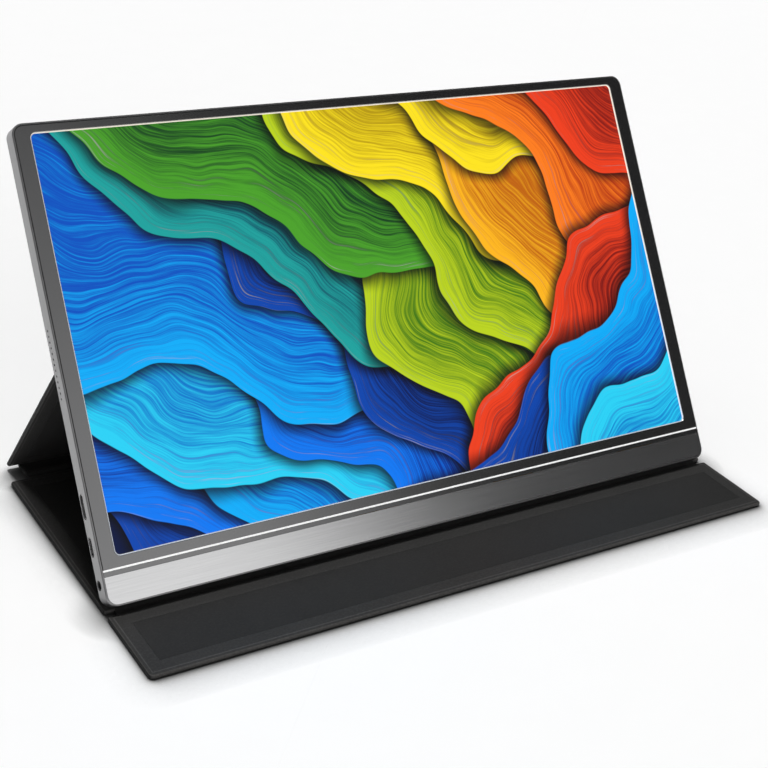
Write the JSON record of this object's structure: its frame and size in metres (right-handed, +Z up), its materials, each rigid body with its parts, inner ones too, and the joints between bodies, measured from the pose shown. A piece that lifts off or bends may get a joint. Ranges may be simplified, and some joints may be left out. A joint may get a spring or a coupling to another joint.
{
  "type": "portable monitor",
  "caption": "Slim portable monitor leaning back on a folding folio case, whose strut props the screen from behind while its base and front flap lie flat on the table.",
  "frame": {"origin": "on the table, in the middle of the ground that the open case covers", "axes": "+X along the screen's width to the viewer's right, +Y from the viewer to the back, +Z up"},
  "size_m": [0.365, 0.1818, 0.1883],
  "materials": {
    "housing_metal": "satin",
    "chin_metal": "brushed",
    "trim_metal": "polished",
    "bezel_dark": "satin",
    "display_glass": "glossy",
    "light_films": "satin",
    "clear_plate": "polished",
    "thin_steel": "satin",
    "socket_steel": "satin",
    "screw_steel": "satin",
    "board_green": "satin",
    "chip_black": "matte",
    "led_white": "satin",
    "film_amber": "satin",
    "foam_black": "matte",
    "speaker_black": "matte",
    "button_metal": "satin",
    "lamp_clear": "polished",
    "magnet_metal": "satin",
    "case_leather": "matte",
    "case_lining": "matte",
    "case_board": "matte"
  },
  "bodies": {
    "spine": {"spine_cover": "case_leather", "spine_core": "case_board", "spine_lining": "case_lining", "foot_fold": "case_leather", "base_fold": "case_leather"},
    "base": {"base_cover": "case_leather", "base_core": "case_board", "base_lining": "case_lining", "flap_fold": "case_leather"},
    "flap": {"flap_cover": "case_leather", "flap_core": "case_board", "flap_lining": "case_lining", "flap_magnets": "magnet_metal"},
    "strut": {"strut_cover": "case_leather", "strut_core": "case_board", "strut_lining": "case_lining", "top_fold": "case_leather"},
    "power_button": {"power_button": "button_metal"},
    "menu_rocker": {"menu_rocker": "button_metal"},
    "monitor": {"back_adhesive": "foam_black", "back_core": "case_board", "back_cover": "case_leather", "back_lining": "case_lining", "backlight_tray": "thin_steel", "board_chips": "chip_black", "board_screws": "screw_steel", "chin_panel": "chin_metal", "display_films": "film_amber", "driver_board": "board_green", "driver_screws": "screw_steel", "front_bezel": "bezel_dark", "headphone_jack": "speaker_black", "housing_magnet_bars": "magnet_metal", "lcd_cell": "display_glass", "led_strip": "led_white", "left_speaker": "speaker_black", "left_usb_socket": "socket_steel", "light_guide": "clear_plate", "main_board": "board_green", "mini_hdmi_socket": "socket_steel", "optical_sheets": "light_films", "panel_tapes": "foam_black", "rear_shell": "housing_metal", "reflector_sheet": "light_films", "right_speaker": "speaker_black", "right_usb_socket": "socket_steel", "rocker_bracket": "thin_steel", "status_light": "lamp_clear", "switch_board": "board_green", "switch_flex": "film_amber", "tact_switches": "chip_black", "trim_bar": "trim_metal"}
  },
  "joints": [
    {"name": "strut_lean", "type": "hinge", "parent": "spine", "child": "strut", "pos_m": [0, 0.08971, 0.0012], "axis": [1, 0, 0], "range_deg": [-34.5, 0.5]},
    {"name": "screen_tilt", "type": "hinge", "parent": "strut", "child": "monitor", "pos_m": [0, 0.02424, 0.09203], "axis": [1, 0, 0], "range_deg": [0, 68]},
    {"name": "base_hang", "type": "hinge", "parent": "spine", "child": "base", "pos_m": [0, 0.07571, 0.0012], "axis": [1, 0, 0], "range_deg": [0, 90]},
    {"name": "flap_lift", "type": "hinge", "parent": "base", "child": "flap", "pos_m": [0, -0.04411, 0.0012], "axis": [-1, 0, 0], "range_deg": [0, 44]},
    {"name": "power_press", "type": "slide", "parent": "monitor", "child": "power_button", "axis": [-1, 0, 0], "range_m": [0, 0.0004], "stiffness_N_per_m": 800},
    {"name": "rocker_tip", "type": "hinge", "parent": "monitor", "child": "menu_rocker", "pos_m": [0.1754, -0.01294, 0.04677], "axis": [0, -0.8192, 0.5736], "range_deg": [-3, 3], "stiffness_Nm_per_rad": 0.05}
  ],
  "couplings": [
    {"joint": "strut_lean", "follows": "screen_tilt", "ratio": -0.5}
  ]
}
